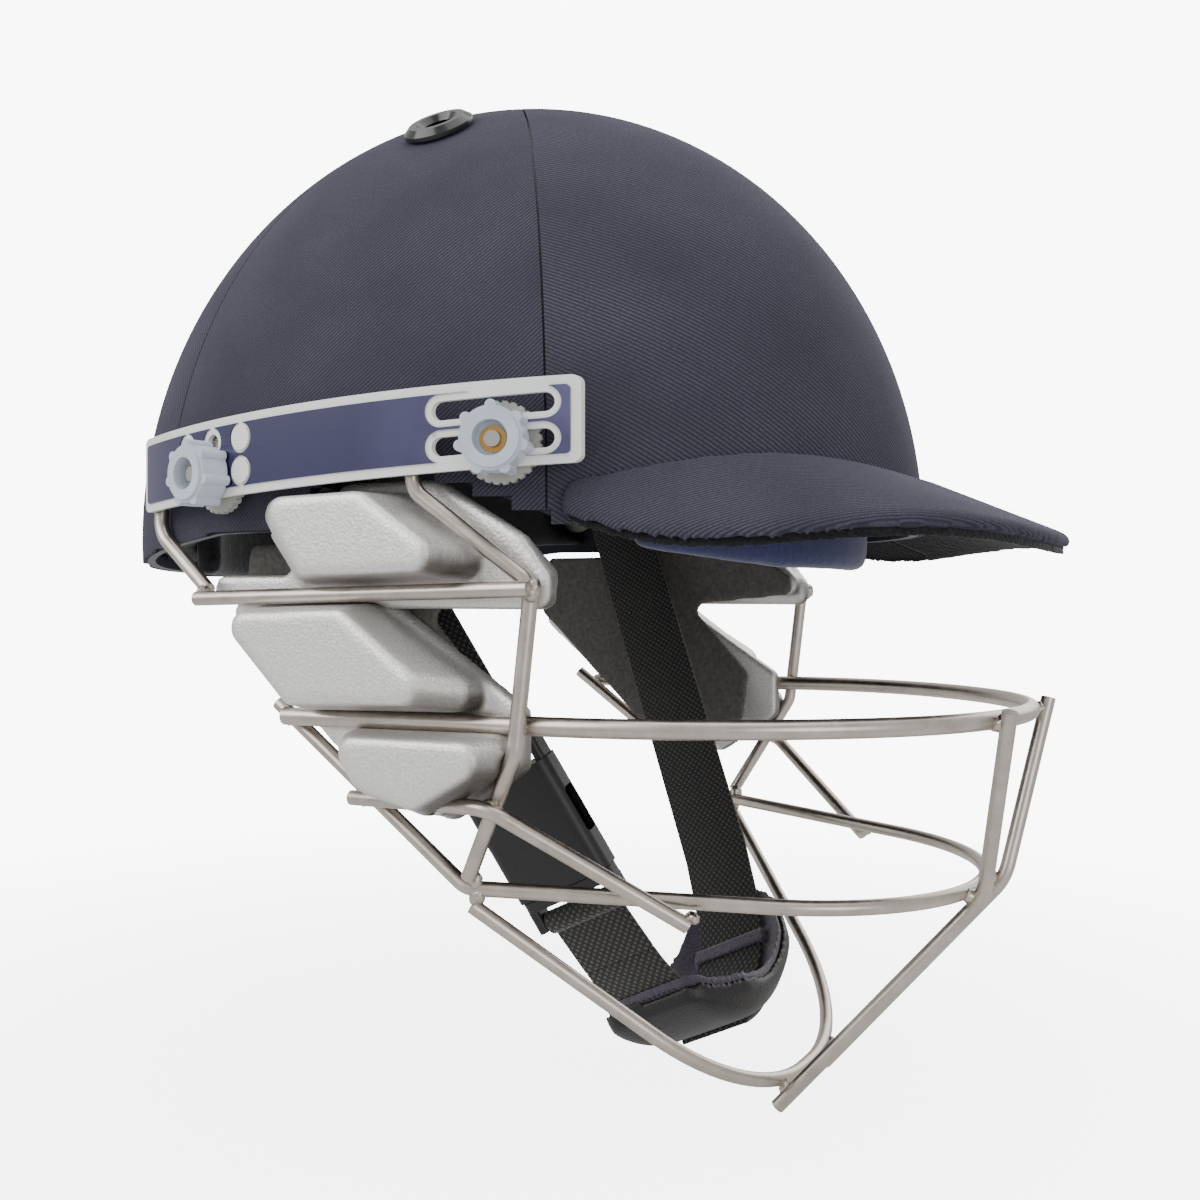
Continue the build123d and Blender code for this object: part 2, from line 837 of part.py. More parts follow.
# Ear guards
def clearance_rod(points, radii, radius=wire_radius):
    """Solid that a wire needs for itself and the gap round it."""
    with BuildPart(mode=Mode.PRIVATE) as rod:
        with BuildLine() as path:
            if radii:
                FilletPolyline(*points, radius=radii)
            else:
                Line(*points)
        with BuildSketch(Plane(origin=path.wires()[0] @ 0, z_dir=path.wires()[0] % 0)) as section:
            Circle(radius + wire_clearance)
        sweep(path=path.wires()[0])
    return rod.part


def slab(side, near_x, far_x, corners, corner_radius):
    """Flat layer between two distances from the mid plane, seen in the side view as an outline."""
    face = side_face(side * near_x, corners, corner_radius)
    return extrude(face, amount=side * (far_x - near_x), mode=Mode.PRIVATE)


def lobe(side, foot_x, crown_x, foot_corners, crown_corners):
    """Cushion with upright sides near its foot and drawn-in sides up to its crown."""
    with BuildPart(mode=Mode.PRIVATE) as cushion:
        add(slab(side, foot_x, lobe_side_x, foot_corners, lobe_corner))
        add(
            loft(
                [
                    side_face(side * lobe_side_x, foot_corners, lobe_corner),
                    side_face(side * crown_x, crown_corners, crown_corner),
                ],
                mode=Mode.PRIVATE,
            )
        )
    return cushion.part


UPPER_FLANGE = ((42, -12.6), (15, -12.6), (-5, 12), (-35, 12), (-61.5, -3), (-70, -13.5), (-70, -21), (-20, -21), (-16, -19.6), (42, -19.6))
UPPER_BACKING = ((13, -9), (-5, 11), (-35, 11), (-60, -4), (-68, -12), (-68, -17.5), (13, -17.5))
UPPER_FOOT = ((26, 8.5), (-29, 7.5), (-60, -13.4), (8, -13.9))
UPPER_CROWN = ((10, 7.5), (-22, 8.5), (-53, -11.6), (-4, -12.5))
LOWER_FLANGE = ((39, -19.5), (-17, -19.5), (-60, -47), (-60, -62), (-38, -76.5), (-13, -71), (38, -29))
MIDDLE_FOOT = ((37, -22), (-14, -20.5), (-60, -46.8), (6, -48.6))
MIDDLE_CROWN = ((28, -23), (-15, -21.5), (-46, -44.5), (3, -46.5))
LOWER_FOOT = ((-3, -54), (-58, -53), (-59, -62), (-37, -75), (-13.5, -70))
LOWER_CROWN = ((-9, -55), (-54, -54.3), (-54.5, -61.5), (-37, -71.5), (-18, -66.5))
LINING = (
    (37, -3), (12, -3), (-1, 7.5), (-36, 7.5), (-58, -6), (-66.7, -11), (-66.7, -17.8),
    (-26, -21.5), (-49.7, -47.5), (-47.7, -63.7), (-33.4, -75), (-4, -65.8), (40, -24),
)

with BuildPart(mode=Mode.PRIVATE) as dome_room:
    add(ellipsoid(-dome_clearance))
    add(above_rim(-dome_clearance), mode=Mode.INTERSECT)

for name, side in SIDES:
    rods = [clearance_rod(top_ring_path, top_ring_bends, ring_wire_radius)]
    for points, radii in (
        (lower_ring_path, lower_ring_bends),
        (side_bar_path(side), [bar_bend, bar_bend, bar_bend]),
        (diagonal_path(side), [diagonal_bend]),
        (rail_path(side), []),
        (hanger_path(side), [hanger_bend]),
    ):
        rods.append(clearance_rod(points, radii))

    with BuildPart() as upper_pad:
        add(slab(side, upper_step_x, upper_face_x, UPPER_FLANGE, flange_corner))
        add(slab(side, pad_back_x, upper_step_x, UPPER_BACKING, flange_corner))
        add(lobe(side, upper_face_x, upper_crown_x, UPPER_FOOT, UPPER_CROWN))
        add(dome_room.part, mode=Mode.SUBTRACT)
        for rod in rods:
            add(rod, mode=Mode.SUBTRACT)
    save(upper_pad, f"{name}_upper_ear_pad")

    with BuildPart() as lower_pad:
        add(slab(side, pad_back_x, lower_face_x, LOWER_FLANGE, flange_corner))
        add(lobe(side, lower_face_x, middle_crown_x, MIDDLE_FOOT, MIDDLE_CROWN))
        add(lobe(side, lower_face_x, lower_crown_x, LOWER_FOOT, LOWER_CROWN))
        for rod in rods:
            add(rod, mode=Mode.SUBTRACT)
    save(lower_pad, f"{name}_lower_ear_pad")

    with BuildPart() as ear_lining:
        add(slab(side, lining_back_x, lining_face_x, LINING, flange_corner))
    save(ear_lining, f"{name}_ear_lining")

# Chin strap webbing
arc_drop = strap_low_up - strap_arc_up
tangent_turn = degrees(
    atan2(arc_drop, strap_low_x) - acos(strap_arc_radius / sqrt(strap_low_x**2 + arc_drop**2))
)
tangent_x = strap_arc_radius * cos(radians(tangent_turn))
tangent_up = strap_arc_up + strap_arc_radius * sin(radians(tangent_turn))
splay = atan2(strap_top_x - strap_low_x, strap_bend_up - strap_low_up)


def cut_rivet_hole(radius):
    """Round hole through everything along the line of the rivets."""
    with BuildSketch(Plane.YZ) as hole:
        with Locations((rivet_y, rivet_z)):
            Circle(radius)
    extrude(hole.sketch, amount=dome_half_width, both=True, mode=Mode.SUBTRACT)


def leg_point(distance):
    """Place on the right leg of the strap, at a distance up the leg from the clip's bar, in the strap's plane."""
    return (-strap_low_x - distance * sin(splay), strap_low_up + distance * cos(splay))


def leg_plane(distance):
    """Plane across the right leg, facing down it, with its first direction across the webbing."""
    spot = leg_point(distance)
    down = strap_plane.x_dir * sin(splay) - strap_plane.y_dir * cos(splay)
    return Plane(
        origin=strap_plane.from_local_coords((spot[0], spot[1], 0)),
        x_dir=strap_plane.z_dir,
        z_dir=down,
    )


with BuildPart() as chin_webbing:
    with BuildSketch(strap_plane) as band:
        with BuildLine() as path:
            FilletPolyline(
                (strap_top_x, strap_top_up),
                (strap_top_x, strap_bend_up),
                (strap_low_x, strap_low_up),
                (tangent_x, tangent_up),
                radius=strap_bend,
            )
            CenterArc((0, strap_arc_up), strap_arc_radius, tangent_turn, -180 - 2 * tangent_turn)
        trace(line_width=webbing_wall)
    extrude(amount=webbing_width / 2, both=True)
    cut_rivet_hole(rivet_radius + rivet_clearance)
save(chin_webbing, "chin_webbing")

housing_bar = buckle_top + buckle_arm_length - ladder_bar
with BuildPart() as right_webbing:
    with BuildSketch(strap_plane) as band:
        with BuildLine() as path:
            FilletPolyline(
                (-strap_top_x, strap_top_up),
                (-strap_top_x, strap_bend_up),
                leg_point(housing_bar + ladder_bar + bar_gap + webbing_wall / 2),
                radius=strap_bend,
            )
        trace(line_width=webbing_wall)
        with Locations(leg_point(housing_bar)):
            Circle(ladder_bar + bar_gap + webbing_wall)
            Circle(ladder_bar + bar_gap, mode=Mode.SUBTRACT)
    extrude(amount=webbing_width / 2, both=True)
    cut_rivet_hole(rivet_radius + rivet_clearance)
save(right_webbing, "right_webbing")

tail_x = tangent_x - strap_low_x
tail_up = tangent_up - strap_low_up
tail_length = sqrt(tail_x**2 + tail_up**2)
ring_share = (ladder_bar + bar_gap + webbing_wall / 2) / tail_length
end_share = 1 - run_gap / tail_length
with BuildPart() as clip_webbing:
    with BuildSketch(strap_plane) as band:
        with BuildLine() as path:
            Line(
                (-strap_low_x - tail_x * ring_share, strap_low_up + tail_up * ring_share),
                (-strap_low_x - tail_x * end_share, strap_low_up + tail_up * end_share),
            )
        trace(line_width=webbing_wall)
        with Locations((-strap_low_x, strap_low_up)):
            Circle(ladder_bar + bar_gap + webbing_wall)
            Circle(ladder_bar + bar_gap, mode=Mode.SUBTRACT)
    extrude(amount=webbing_width / 2, both=True)
save(clip_webbing, "clip_webbing")

# Strap anchors inside the shell, and their rivets
anchor_x = strap_top_x + webbing_wall / 2 + rivet_clearance
with BuildPart() as anchors:
    for name, side in SIDES:
        with BuildSketch(Plane.YZ.offset(side * anchor_x)) as block:
            with Locations((rivet_y, rivet_z)):
                RectangleRounded(anchor_width, anchor_height, rivet_radius)
        extrude(amount=side * overrun)
    add(ellipsoid(liner_depth), mode=Mode.INTERSECT)
    cut_rivet_hole(rivet_radius + run_gap)
save(anchors, "strap_anchors")

rivet_x = strap_top_x - webbing_wall / 2 - rivet_clearance - rivet_head
with BuildPart() as rivets:
    for name, side in SIDES:
        with BuildSketch(Plane.YZ.offset(side * rivet_x)) as head:
            with Locations((rivet_y, rivet_z)):
                Circle(rivet_head_radius)
        extrude(amount=side * rivet_head)
        with BuildSketch(Plane.YZ.offset(side * rivet_x)) as shank:
            with Locations((rivet_y, rivet_z)):
                Circle(rivet_radius)
        extrude(amount=side * rivet_length)
save(rivets, "strap_rivets")


# Buckle
def bar_and_arms(plane, toward):
    """Two arms and a round bar across them, beyond a plane of the buckle."""
    with BuildSketch(plane) as arms:
        with Locations((buckle_arm / 2 - buckle_width / 2 + clip_inset, 0), (buckle_width / 2 - buckle_arm / 2 - clip_inset, 0)):
            RectangleRounded(buckle_arm, 2 * buckle_corner, ladder_bar)
    extrude(arms.sketch, amount=toward * buckle_arm_length)
    across = Plane(
        origin=plane.origin + plane.z_dir * toward * (buckle_arm_length - ladder_bar),
        x_dir=plane.z_dir,
        z_dir=plane.x_dir,
    )
    with BuildSketch(across) as bar:
        Circle(ladder_bar)
    extrude(bar.sketch, amount=buckle_width / 2 - clip_inset - ladder_bar, both=True)


with BuildPart() as housing:
    with BuildSketch(leg_plane(buckle_top)) as block:
        RectangleRounded(buckle_width, buckle_height, buckle_corner)
    extrude(amount=buckle_top - buckle_foot)
    with BuildSketch(leg_plane(buckle_top - buckle_roof)) as cavity:
        RectangleRounded(
            buckle_width - 2 * buckle_wall,
            buckle_height - 2 * buckle_wall,
            buckle_corner - buckle_wall,
        )
    extrude(amount=buckle_top - buckle_foot, mode=Mode.SUBTRACT)
    middle = leg_plane(buckle_top - window_drop)
    with BuildSketch(Plane(origin=middle.origin, x_dir=middle.z_dir, z_dir=middle.x_dir)) as window:
        RectangleRounded(window_length, window_height, ladder_bar)
    extrude(amount=buckle_width, both=True, mode=Mode.SUBTRACT)
    bar_and_arms(leg_plane(buckle_top), -1)
save(housing, "buckle_housing")

clip_top = buckle_foot - clip_gap
prong_place = buckle_width / 2 - buckle_wall - clip_gap - prong_width / 2
with BuildPart() as clip:
    with BuildSketch(leg_plane(clip_top)) as shoulder:
        RectangleRounded(buckle_width - 2 * clip_inset, buckle_height - 2 * clip_inset, buckle_corner)
    extrude(amount=clip_top - clip_foot + ladder_bar)
    with BuildSketch(leg_plane(clip_top)) as tongue:
        RectangleRounded(tongue_width, prong_height, ladder_bar)
    extrude(amount=-tongue_length)
    with BuildSketch(leg_plane(clip_top)) as prongs:
        with Locations((-prong_place, 0), (prong_place, 0)):
            RectangleRounded(prong_width, prong_height, ladder_bar)
    extrude(amount=-prong_length)
    bar_and_arms(leg_plane(clip_foot - ladder_bar), 1)
save(clip, "buckle_clip")

# Chin cup: a shell swept round the outside of the strap's arc, with raised sides and narrower ends
cup_inner = strap_arc_radius + webbing_wall / 2 + cup_clearance
cup_shell = cup_inner + cup_lining + cup_lining_gap
cup_outer = cup_shell + cup_wall
cup_centre = strap_plane.from_local_coords((0, strap_arc_up, 0))
cup_axis = Axis(cup_centre, strap_plane.z_dir)


def cup_radial(turn):
    """Direction from the middle of the arc at a turn from its lowest point, toward the left."""
    return strap_plane.x_dir * sin(radians(turn)) - strap_plane.y_dir * cos(radians(turn))


def cup_section_plane(turn):
    """Plane through the arc's axis, with the axis as its second direction."""
    out = cup_radial(turn)
    return Plane(origin=cup_centre, x_dir=out, z_dir=out.cross(strap_plane.z_dir))


def cup_layer(start, wall, inset):
    """One layer of the chin cup, from a radius about the middle of the arc outward."""
    middle = start + wall / 2
    flat = cup_flat_half + (middle - cup_inner) * tan(radians(cup_rise / 2))
    far = cup_half_width + overrun
    near = middle - (far - flat) * tan(radians(cup_rise))
    half_length = cup_inner * sin(radians(cup_half_angle)) - inset
    half_width = cup_half_width - inset
    end_half_width = cup_end_half_width - inset
    with BuildPart(mode=Mode.PRIVATE) as layer:
        with BuildSketch(cup_section_plane(cup_slip - cup_half_angle)) as section:
            with BuildLine() as path:
                FilletPolyline(
                    (near, -far),
                    (middle, -flat),
                    (middle, flat),
                    (near, far),
                    radius=cup_bend,
                )
            trace(line_width=wall)
        revolve(axis=cup_axis, revolution_arc=2 * cup_half_angle)
        down = cup_radial(cup_slip)
        with BuildSketch(Plane(origin=cup_centre, x_dir=strap_plane.z_dir.cross(down), z_dir=down)) as plan:
            with BuildLine() as edges:
                Polyline(
                    (-half_length, -end_half_width),
                    (-half_length / 2, -half_width),
                    (half_length / 2, -half_width),
                    (half_length, -end_half_width),
                    (half_length, end_half_width),
                    (half_length / 2, half_width),
                    (-half_length / 2, half_width),
                    (-half_length, end_half_width),
                    close=True,
                )
            make_face()
            fillet(plan.vertices(), cup_corner)
        extrude(amount=cup_outer + overrun, mode=Mode.INTERSECT)
    return layer.part


with BuildPart() as chin_cup:
    add(cup_layer(cup_shell, cup_wall, 0))
save(chin_cup, "chin_cup")

# Lining, with two loops on its inside that hold the webbing
loop_bottom = cup_inner + cup_lining / 2
loop_hole = strap_arc_radius - webbing_wall / 2 - seat_gap
loop_top = loop_hole - keeper_wall
hole_width = webbing_width + 2 * rivet_clearance
with BuildPart() as cup_pad:
    add(cup_layer(cup_inner, cup_lining, cup_lining_inset))
    for turn in (cup_slip - keeper_turn, cup_slip + keeper_turn):
        with BuildSketch(cup_section_plane(turn - keeper_spread / 2)) as keeper:
            with Locations(((loop_top + loop_bottom) / 2, 0)):
                Rectangle(loop_bottom - loop_top, hole_width + 2 * keeper_wall)
            with Locations(((loop_hole + cup_inner) / 2, 0)):
                Rectangle(cup_inner - loop_hole, hole_width, mode=Mode.SUBTRACT)
        revolve(axis=cup_axis, revolution_arc=keeper_spread)
save(cup_pad, "chin_cup_lining")

# Band of webbing round the outside of the cup's lowest part
band_middle = cup_outer + seat_gap + webbing_wall / 2
with BuildPart() as cup_band:
    with BuildSketch(cup_section_plane(cup_slip - cup_band_spread / 2)) as section:
        with Locations((band_middle, 0)):
            Rectangle(webbing_wall, webbing_width)
    revolve(axis=cup_axis, revolution_arc=cup_band_spread)
save(cup_band, "chin_cup_band")
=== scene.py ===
# %% [markdown]
# # A batting helmet in cloth, wire and foam
#
# The helmet's hard parts are already modelled. This notebook dresses them: cloth panels over
# the dome, padding, webbing, weld beads on the grille, and a finish for every surface. Lengths
# are in metres. The wearer faces -Y, and the wearer's right is -X, which is the side that the
# photograph shows.

# %% Load the frame and note its size
import json
from math import atan2, cos, pi, radians, sin, sqrt

import bmesh
import bpy
from mathutils import Matrix, Vector


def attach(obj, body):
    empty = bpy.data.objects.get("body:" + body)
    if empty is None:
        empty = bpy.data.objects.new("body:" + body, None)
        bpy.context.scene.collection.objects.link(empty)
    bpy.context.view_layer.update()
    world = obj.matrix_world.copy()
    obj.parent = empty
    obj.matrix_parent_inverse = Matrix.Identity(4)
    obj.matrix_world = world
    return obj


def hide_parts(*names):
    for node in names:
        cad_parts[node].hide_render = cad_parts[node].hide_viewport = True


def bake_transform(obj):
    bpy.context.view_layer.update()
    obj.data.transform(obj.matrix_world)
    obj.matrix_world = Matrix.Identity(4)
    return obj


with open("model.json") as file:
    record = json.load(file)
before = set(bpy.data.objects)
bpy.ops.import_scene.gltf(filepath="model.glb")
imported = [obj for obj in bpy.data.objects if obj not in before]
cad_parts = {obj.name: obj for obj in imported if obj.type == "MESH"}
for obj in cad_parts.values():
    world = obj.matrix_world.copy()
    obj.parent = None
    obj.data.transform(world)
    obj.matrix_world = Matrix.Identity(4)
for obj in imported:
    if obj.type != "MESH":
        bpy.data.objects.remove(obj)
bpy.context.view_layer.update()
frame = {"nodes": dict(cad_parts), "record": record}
nodes = frame["nodes"]
SIDES = (("right", -1), ("left", 1))

# %% [markdown]
# The camera comes first, so that every later render can be laid beside the photograph. It
# stands a little over 40 cm from the helmet, ahead and to the wearer's right, level with the
# chin: so near a lens makes the near ear guard look large, as it does in the photograph.

# %% Camera
camera_data = bpy.data.cameras.new("camera")
camera_data.lens = 39.0
camera_data.sensor_width = 36.0
camera = bpy.data.objects.new("camera", camera_data)
bpy.context.scene.collection.objects.link(camera)
camera.location = (-0.3660, -0.2356, -0.0176)
camera.rotation_euler = (radians(89.75), 0, radians(-61.02))
bpy.context.scene.camera = camera

# %% [markdown]
# A pale floor lies just under the lowest wires. Its edge fades out, so that it melts into the
# white surroundings with no horizon. The surroundings are as bright as paper to the eye, but
# light the helmet only mildly. Large soft lights above and behind the wearer's shoulder do
# the rest, and the front stays dimmer, so that slopes that face forward turn darker, as on
# the pressed pads in the photograph; on the pads this darkening is also painted shade in their colour.

# %% Floor and lights
FLOOR_Z = -0.1655
bpy.ops.mesh.primitive_circle_add(
    vertices=64, radius=1.5, fill_type="NGON", location=(0, 0, FLOOR_Z)
)
floor = bpy.context.object
floor.name = "studio_floor"
bpy.ops.object.transform_apply(location=True)

LIGHTS = (
    ("key", (-1.3, 0.9, 1.0), 1.4, 22.0),
    ("top", (0.0, -0.2, 1.7), 1.8, 16.0),
    ("front_fill", (-0.9, -1.3, 0.1), 0.7, 4.0),
    ("far_side", (1.3, -0.3, 0.7), 1.2, 9.0),
)
for name, place, size, power in LIGHTS:
    light_data = bpy.data.lights.new(name, "AREA")
    light_data.size = size
    light_data.energy = power
    light = bpy.data.objects.new(name, light_data)
    bpy.context.scene.collection.objects.link(light)
    light.location = place
    light.rotation_euler = (Vector(place) * -1).to_track_quat("-Z", "Y").to_euler()

# %% [markdown]
# Finishes are built from nodes. Two small helpers keep that short: one turns the hex colours
# that painters and printers use into the linear values that light needs, and one adds a node
# with its settings and its links.


# %% Helpers for finishes
def colour(hex_code):
    """Linear colour from an sRGB hex value."""
    values = [int(hex_code[i : i + 2], 16) / 255 for i in (1, 3, 5)]
    return tuple([v / 12.92 if v <= 0.04045 else ((v + 0.055) / 1.055) ** 2.4 for v in values] + [1.0])


def add_node(tree, kind, inputs=None, **settings):
    """Adds a node; an input given a socket is linked, and any other value is set."""
    made = tree.nodes.new(kind)
    for name, value in settings.items():
        setattr(made, name, value)
    for key, value in (inputs or {}).items():
        if isinstance(value, bpy.types.NodeSocket):
            tree.links.new(value, made.inputs[key])
        else:
            made.inputs[key].default_value = value
    return made


def new_finish(name, hex_code, roughness, **shader_values):
    """A material with its shader, its node tree and the object's own coordinates."""
    material = bpy.data.materials.new(name)
    material.use_nodes = True
    tree = material.node_tree
    shader = tree.nodes["Principled BSDF"]
    shader.inputs["Base Color"].default_value = colour(hex_code)
    shader.inputs["Roughness"].default_value = roughness
    for key, value in shader_values.items():
        shader.inputs[key.replace("_", " ")].default_value = value
    place = add_node(tree, "ShaderNodeTexCoord").outputs["Object"]
    return material, tree, shader, place


def two_tone(tree, shader, factor, dark, light):
    """Blends the shader's colour between two hex values."""
    mix = add_node(tree, "ShaderNodeMix", {0: factor}, data_type="RGBA")
    mix.inputs["A"].default_value = colour(dark)
    mix.inputs["B"].default_value = colour(light)
    tree.links.new(mix.outputs["Result"], shader.inputs["Base Color"])


def raise_surface(tree, shader, height, distance, strength=1.0):
    """Bump of a real depth, in metres."""
    bump = add_node(tree, "ShaderNodeBump", {"Height": height, "Distance": distance, "Strength": strength})
    tree.links.new(bump.outputs["Normal"], shader.inputs["Normal"])


# %% [markdown]
# The surroundings shine brightly where the camera sees them, and mildly everywhere else.

# %% White surroundings
world = bpy.data.worlds.new("white_tent")
world.use_nodes = True
seen = add_node(world.node_tree, "ShaderNodeLightPath").outputs["Is Camera Ray"]
glow = add_node(world.node_tree, "ShaderNodeMapRange", {"Value": seen, "To Min": 0.75, "To Max": 9.0})
backing = world.node_tree.nodes["Background"]
world.node_tree.links.new(glow.outputs["Result"], backing.inputs["Strength"])
backing.inputs["Color"].default_value = (1, 1, 1, 1)
bpy.context.scene.world = world

# %% [markdown]
# The dome is covered in navy twill, a woven cloth whose threads step sideways row by row and
# so draw fine diagonal ribs. Real ribs are about 0.5 mm apart; here they are 1.1 mm, because
# finer ones would be lost between the picture's pixels. The pattern reads a flat map that
# each panel carries, so the ribs turn direction at a seam, as cut cloth does. A second, finer
# noise stands in for the fluff of the yarn, and sheen gives the soft light edge of cotton.


# %% Twill
def make_twill(name, from_map, spacing):
    material, tree, shader, place = new_finish(
        name, "#15182b", 0.85, Sheen_Weight=0.14, Sheen_Roughness=0.4, Specular_IOR_Level=0.15
    )
    shader.inputs["Sheen Tint"].default_value = colour("#9296ad")
    if from_map:
        place = add_node(tree, "ShaderNodeUVMap", uv_map="weave").outputs["UV"]
    ribs = add_node(
        tree,
        "ShaderNodeTexWave",
        {"Vector": place, "Scale": 0.444 / spacing, "Distortion": 0.6, "Detail": 1.0, "Detail Scale": 4.0},
        bands_direction="DIAGONAL",
    )
    yarn = add_node(tree, "ShaderNodeTexNoise", {"Vector": place, "Scale": 1500.0, "Detail": 2.0})
    patches = add_node(tree, "ShaderNodeTexNoise", {"Vector": place, "Scale": 28.0, "Detail": 3.0})
    blend = add_node(
        tree, "ShaderNodeMath", {0: ribs.outputs["Fac"], 1: yarn.outputs["Fac"]}, operation="MULTIPLY"
    )
    tone = add_node(
        tree, "ShaderNodeMath", {0: blend.outputs[0], 1: patches.outputs["Fac"]}, operation="MULTIPLY_ADD"
    )
    tone.inputs[2].default_value = 0.12
    two_tone(tree, shader, tone.outputs[0], "#1b1b25", "#6f6d7e")
    raise_surface(tree, shader, blend.outputs[0], 0.00013)
    return material


dome_twill = make_twill("cotton_twill_navy_dome", True, 0.0011)
peak_twill = make_twill("cotton_twill_navy_peak", False, 0.0009)

# %% [markdown]
# Most of the work in edit mode is picking the right faces and handing them to an operator.
# These helpers open a piece for editing with nothing picked, pick faces or vertices by a
# test, and close it again.


# %% Helpers for editing
def only(piece):
    bpy.ops.object.select_all(action="DESELECT")
    piece.select_set(True)
    bpy.context.view_layer.objects.active = piece


def start_edit(piece, element="FACE"):
    only(piece)
    bpy.ops.object.mode_set(mode="EDIT")
    bpy.ops.mesh.select_mode(type=element)
    bpy.ops.mesh.select_all(action="DESELECT")


def stop_edit():
    bpy.ops.object.mode_set(mode="OBJECT")


def pick_faces(piece, test):
    """Selects the faces whose middle and normal pass the test, in edit mode."""
    shape = bmesh.from_edit_mesh(piece.data)
    for face in shape.faces:
        face.select_set(bool(test(face.calc_center_median(), face.normal)))
    shape.select_flush_mode()
    bmesh.update_edit_mesh(piece.data)


def pick_vertices(piece, test):
    """Selects the vertices that pass the test, in edit mode."""
    shape = bmesh.from_edit_mesh(piece.data)
    for vertex in shape.verts:
        vertex.select_set(bool(test(vertex)))
    shape.select_flush_mode()
    bmesh.update_edit_mesh(piece.data)


def apply_modifier(piece, kind, **settings):
    """Adds a modifier, sets it and applies it."""
    only(piece)
    modifier = piece.modifiers.new(kind.lower(), kind)
    for name, value in settings.items():
        setattr(modifier, name, value)
    bpy.ops.object.modifier_apply(modifier=modifier.name)


def give(piece, material, body, slot, *stands_for):
    """Dresses a piece: its finish, the body that it rides on, and what it stands for."""
    if not piece.data.materials:
        piece.data.materials.append(material)
    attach(piece, body)
    if stands_for:
        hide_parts(*stands_for)
    print(piece.name, len(piece.data.polygons), "faces")


# %% [markdown]
# The cloth over the dome is one smooth egg shape, trimmed along a rim that arches over each
# ear. A sphere is stretched to the dome's half sizes. Then the rim is scored with bisect, one
# straight stretch at a time: first upright cuts where the rim changes slope, so that no face
# crosses from one stretch to the next, and then one sloping cut per stretch. Only after all
# the cuts are the faces below the rim deleted, because bisect's own clearing would take
# corners away from faces next to it that are still to be cut.

# %% Dome cloth, before it is cut into panels
HALF = Vector((0.1010, 0.1347, 0.1385))
RIM = (
    (-0.2, 0.0), (-0.072, 0.0), (-0.045, 0.011), (-0.030, 0.014), (-0.005, 0.014),
    (0.013, -0.0005), (0.038, -0.0005), (0.1347, -0.010), (0.2, -0.010),
)
CLOTH = 0.001

bpy.ops.mesh.primitive_uv_sphere_add(segments=240, ring_count=120, radius=1)
dome_cloth = bpy.context.object
dome_cloth.scale = HALF
bpy.ops.object.transform_apply(scale=True)
start_edit(dome_cloth)
for y, z in RIM[1:-1]:
    pick_faces(dome_cloth, lambda middle, normal: middle.z < 0.03)
    bpy.ops.mesh.bisect(plane_co=(0, y, 0), plane_no=(0, 1, 0))
for (y, z), (next_y, next_z) in zip(RIM, RIM[1:]):
    pick_faces(dome_cloth, lambda middle, normal: y < middle.y < next_y and middle.z < 0.05)
    bpy.ops.mesh.bisect(plane_co=(0, y, z), plane_no=(0, z - next_z, next_y - y))
for (y, z), (next_y, next_z) in zip(RIM, RIM[1:]):
    slope = (next_z - z) / (next_y - y)
    pick_faces(
        dome_cloth,
        lambda middle, normal: y < middle.y < next_y and middle.z < z + slope * (middle.y - y),
    )
    bpy.ops.mesh.delete(type="FACE")
stop_edit()
print("dome cloth", len(dome_cloth.data.polygons), "faces")

# %% [markdown]
# The cover is sewn from four panels that meet near the crown. Each panel is a copy of the
# dome cloth, cut by two upright planes. It also gets its weave map here: how far a point lies
# along the cloth from the panel's middle, and how far up from the rim. The cloth then gets
# its thickness, and a bevel rolls its raw edges inwards, so that two panels meet in a narrow
# sewn groove.

# %% Four cloth panels
SEAM = 53
SEAM_GAP = 0.0003
VENT_PLACE = (0.049, -0.0053)
VENT_HOLE = 0.007
ROW_LENGTH = 0.128
PANELS = (
    ("cover_front", 270 - SEAM, 270 + SEAM, 1),
    ("cover_left", SEAM - 90, 90 - SEAM, -1),
    ("cover_rear", 90 - SEAM, 90 + SEAM, 1),
    ("cover_right", 90 + SEAM, 270 - SEAM, -1),
)


def vent_direction(side):
    """Place of a crown vent on the dome, and the direction that it faces."""
    x, y = side * VENT_PLACE[0], VENT_PLACE[1]
    z = HALF.z * sqrt(1 - (x / HALF.x) ** 2 - (y / HALF.y) ** 2)
    return Vector((x, y, z)), Vector((x / HALF.x**2, y / HALF.y**2, z / HALF.z**2)).normalized()


def weave_map(piece, middle_turn, lean):
    """Lays the panel out flat: across the panel along its rows, and up along its meridians."""
    layer = piece.data.uv_layers.new(name="weave")
    for loop in piece.data.loops:
        spot = piece.data.vertices[loop.vertex_index].co
        turn = atan2(spot.y, spot.x) - radians(middle_turn)
        turn = (turn + pi) % (2 * pi) - pi
        reach = sqrt(spot.x**2 + spot.y**2)
        height = atan2(spot.z, reach) * ROW_LENGTH
        layer.data[loop.index].uv = (lean * turn * reach, height)


